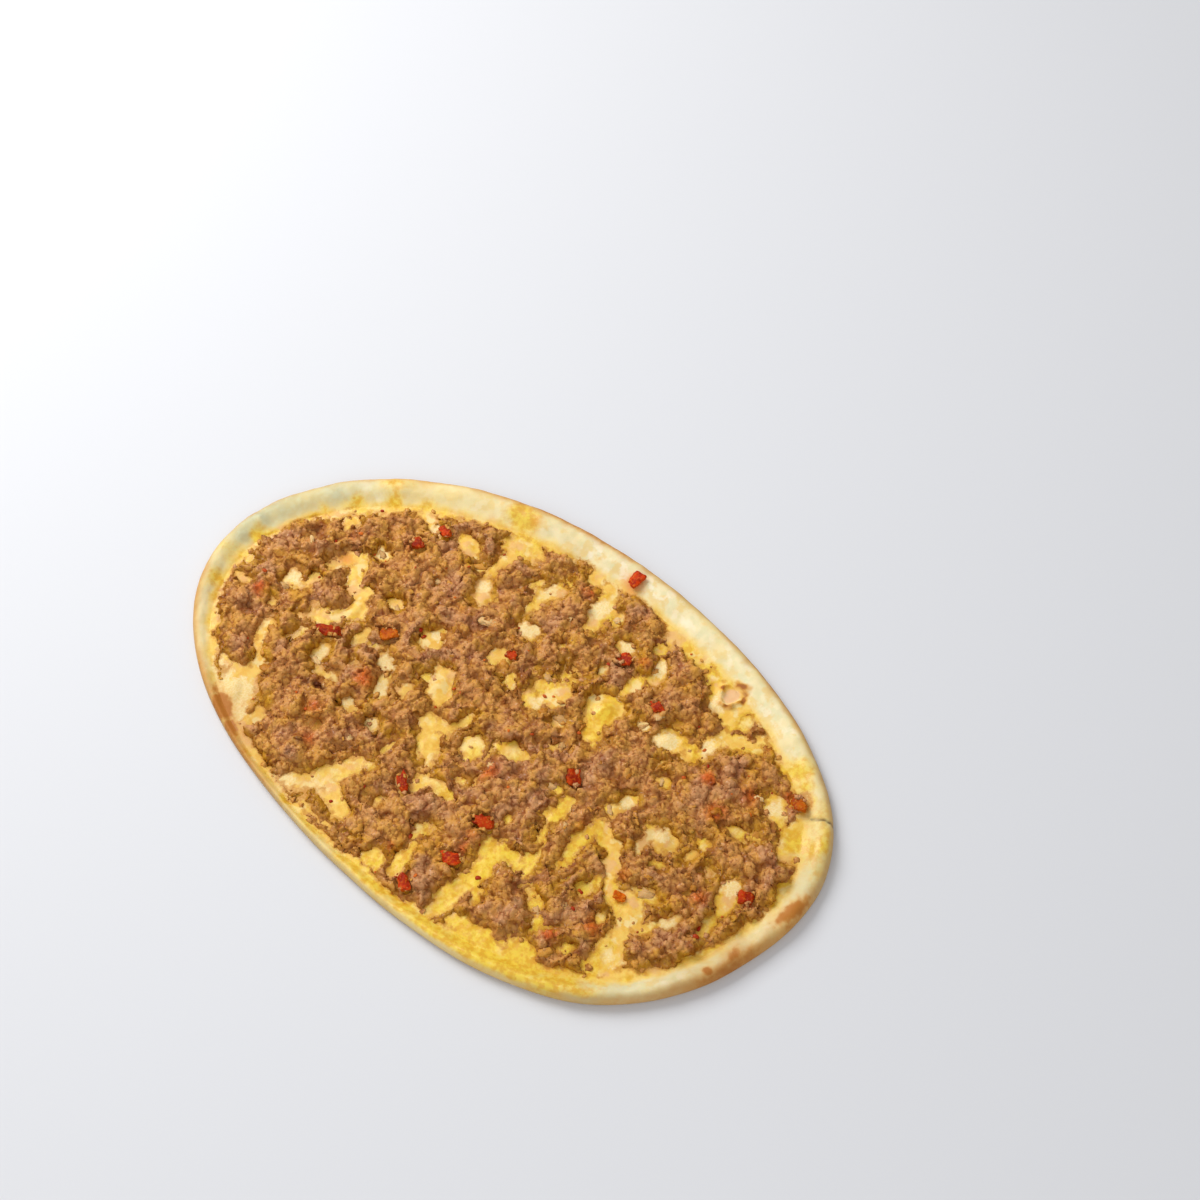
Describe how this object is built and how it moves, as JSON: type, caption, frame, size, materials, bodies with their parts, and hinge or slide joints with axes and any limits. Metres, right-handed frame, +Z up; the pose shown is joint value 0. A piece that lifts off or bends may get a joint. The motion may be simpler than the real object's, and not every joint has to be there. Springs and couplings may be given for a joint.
{
  "type": "sfiha",
  "caption": "Thin oval flatbread with a low rounded rim, topped with a lacy heap of cooked minced meat and small dice of red and orange pepper.",
  "frame": {"origin": "middle of the bounding box, on the plane that the bread rests on", "axes": "+X along the oval's length, +Y across it, +Z up through the topping"},
  "size_m": [0.28, 0.175, 0.0113],
  "materials": {
    "bread": "baked dough, dull, with oily yellow patches",
    "mince": "cooked mince, crumbly, slightly moist",
    "red": "cooked red pepper, moist and shiny",
    "orange": "cooked orange pepper, moist and shiny"
  },
  "bodies": {
    "root": {"bread": "bread", "mince": "mince", "pepper_01": "red", "pepper_02": "red", "pepper_03": "red", "pepper_04": "red", "pepper_05": "red", "pepper_06": "orange", "pepper_07": "red", "pepper_08": "red", "pepper_09": "red", "pepper_10": "red", "pepper_11": "red", "pepper_12": "red", "pepper_13": "red", "pepper_14": "red", "pepper_15": "orange", "pepper_16": "orange"}
  },
  "joints": []
}
